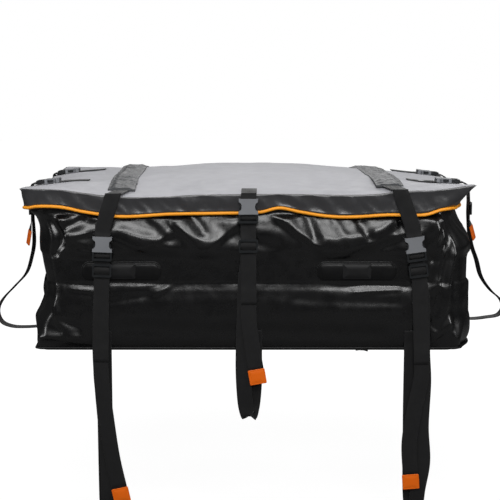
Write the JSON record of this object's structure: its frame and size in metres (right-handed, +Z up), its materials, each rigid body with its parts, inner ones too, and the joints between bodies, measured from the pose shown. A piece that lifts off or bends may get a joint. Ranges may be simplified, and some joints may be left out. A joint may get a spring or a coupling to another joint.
{
  "type": "roof cargo bag",
  "caption": "Soft rectangular roof cargo bag, packed full, with a crowned lid over a covered zip, buckled tie-down straps on every side and flat carry handles.",
  "frame": {"origin": "centre of the bag's flat bottom, where it rests on the roof; the tie-down straps hang below it as they do in the picture", "axes": "+X along the longer side, to the right seen from the front; -Y out of the front; +Z up"},
  "size_m": [1.3354, 0.893, 0.8463],
  "materials": {
    "bag": "glossy coated cloth",
    "lid": "satin coated cloth",
    "skirt": "satin coated cloth",
    "piping": "satin coated cloth",
    "strip": "satin coated cloth",
    "zip": "woven tape with coil teeth",
    "webbing": "ribbed woven webbing",
    "plastic": "moulded, satin",
    "tab": "satin coated cloth"
  },
  "bodies": {
    "bag": {"bag_body": "bag", "bottom_welt": "bag", "lid_panel": "lid", "lid_skirt": "skirt", "skirt_piping": "piping", "zip_tape": "zip", "lid_strip_left": "strip", "lid_strip_right": "strip", "handle_patch_left": "bag", "handle_patch_right": "bag", "handle_sleeve_left": "bag", "handle_sleeve_right": "bag", "handle_back_left": "bag", "handle_back_right": "bag", "lid_strap_left": "webbing", "lid_strap_right": "webbing", "lid_strap_centre_front": "webbing", "lid_strap_centre_back": "webbing", "buckle_socket_front_left": "plastic", "buckle_socket_front_centre": "plastic", "buckle_socket_front_right": "plastic", "buckle_socket_back_left": "plastic", "buckle_socket_back_centre": "plastic", "buckle_socket_back_right": "plastic", "buckle_socket_left_front": "plastic", "buckle_socket_left_back": "plastic", "buckle_socket_right_front": "plastic", "buckle_socket_right_back": "plastic"},
    "slider_left": {"zip_slider_left": "plastic"},
    "slider_right": {"zip_slider_right": "plastic"},
    "plug_front_left": {"buckle_plug_front_left": "plastic", "triglide_front_left": "plastic", "strap_front_left": "webbing", "strap_tab_front_left": "tab"},
    "plug_front_centre": {"buckle_plug_front_centre": "plastic", "triglide_front_centre": "plastic", "strap_front_centre": "webbing", "strap_tab_front_centre": "tab"},
    "plug_front_right": {"buckle_plug_front_right": "plastic", "triglide_front_right": "plastic", "strap_front_right": "webbing", "strap_tab_front_right": "tab"},
    "plug_back_left": {"buckle_plug_back_left": "plastic", "strap_back_left": "webbing"},
    "plug_back_centre": {"buckle_plug_back_centre": "plastic", "strap_back_centre": "webbing"},
    "plug_back_right": {"buckle_plug_back_right": "plastic", "strap_back_right": "webbing"},
    "plug_left_front": {"buckle_plug_left_front": "plastic", "strap_left_front": "webbing", "strap_tab_left_front": "tab"},
    "plug_left_back": {"buckle_plug_left_back": "plastic", "strap_left_back": "webbing", "strap_tab_left_back": "tab"},
    "plug_right_front": {"buckle_plug_right_front": "plastic", "strap_right_front": "webbing", "strap_tab_right_front": "tab"},
    "plug_right_back": {"buckle_plug_right_back": "plastic", "strap_right_back": "webbing", "strap_tab_right_back": "tab"}
  },
  "joints": [
    {"name": "zip_left", "type": "slide", "parent": "bag", "child": "slider_left", "axis": [-1, 0, 0], "range_m": [0, 0.42]},
    {"name": "zip_right", "type": "slide", "parent": "bag", "child": "slider_right", "axis": [1, 0, 0], "range_m": [0, 0.42]},
    {"name": "release_front_left", "type": "slide", "parent": "bag", "child": "plug_front_left", "axis": [-0.0349, 0, -0.9994], "range_m": [0, 0.028], "deforming": ["strap_front_left"]},
    {"name": "release_front_centre", "type": "slide", "parent": "bag", "child": "plug_front_centre", "axis": [0, 0, -1], "range_m": [0, 0.028], "deforming": ["strap_front_centre"]},
    {"name": "release_front_right", "type": "slide", "parent": "bag", "child": "plug_front_right", "axis": [0.1392, 0, -0.9903], "range_m": [0, 0.028], "deforming": ["strap_front_right"]},
    {"name": "release_back_left", "type": "slide", "parent": "bag", "child": "plug_back_left", "axis": [-0.0349, 0, -0.9994], "range_m": [0, 0.028], "deforming": ["strap_back_left"]},
    {"name": "release_back_centre", "type": "slide", "parent": "bag", "child": "plug_back_centre", "axis": [0, 0, -1], "range_m": [0, 0.028], "deforming": ["strap_back_centre"]},
    {"name": "release_back_right", "type": "slide", "parent": "bag", "child": "plug_back_right", "axis": [0.0349, 0, -0.9994], "range_m": [0, 0.028], "deforming": ["strap_back_right"]},
    {"name": "release_left_front", "type": "slide", "parent": "bag", "child": "plug_left_front", "axis": [-0.9941, 0, -0.1085], "range_m": [0, 0.028], "deforming": ["strap_left_front"]},
    {"name": "release_left_back", "type": "slide", "parent": "bag", "child": "plug_left_back", "axis": [-0.9934, 0, -0.1145], "range_m": [0, 0.028], "deforming": ["strap_left_back"]},
    {"name": "release_right_front", "type": "slide", "parent": "bag", "child": "plug_right_front", "axis": [0.9985, 0, -0.0539], "range_m": [0, 0.028], "deforming": ["strap_right_front"]},
    {"name": "release_right_back", "type": "slide", "parent": "bag", "child": "plug_right_back", "axis": [0.9935, 0, -0.114], "range_m": [0, 0.028], "deforming": ["strap_right_back"]}
  ]
}
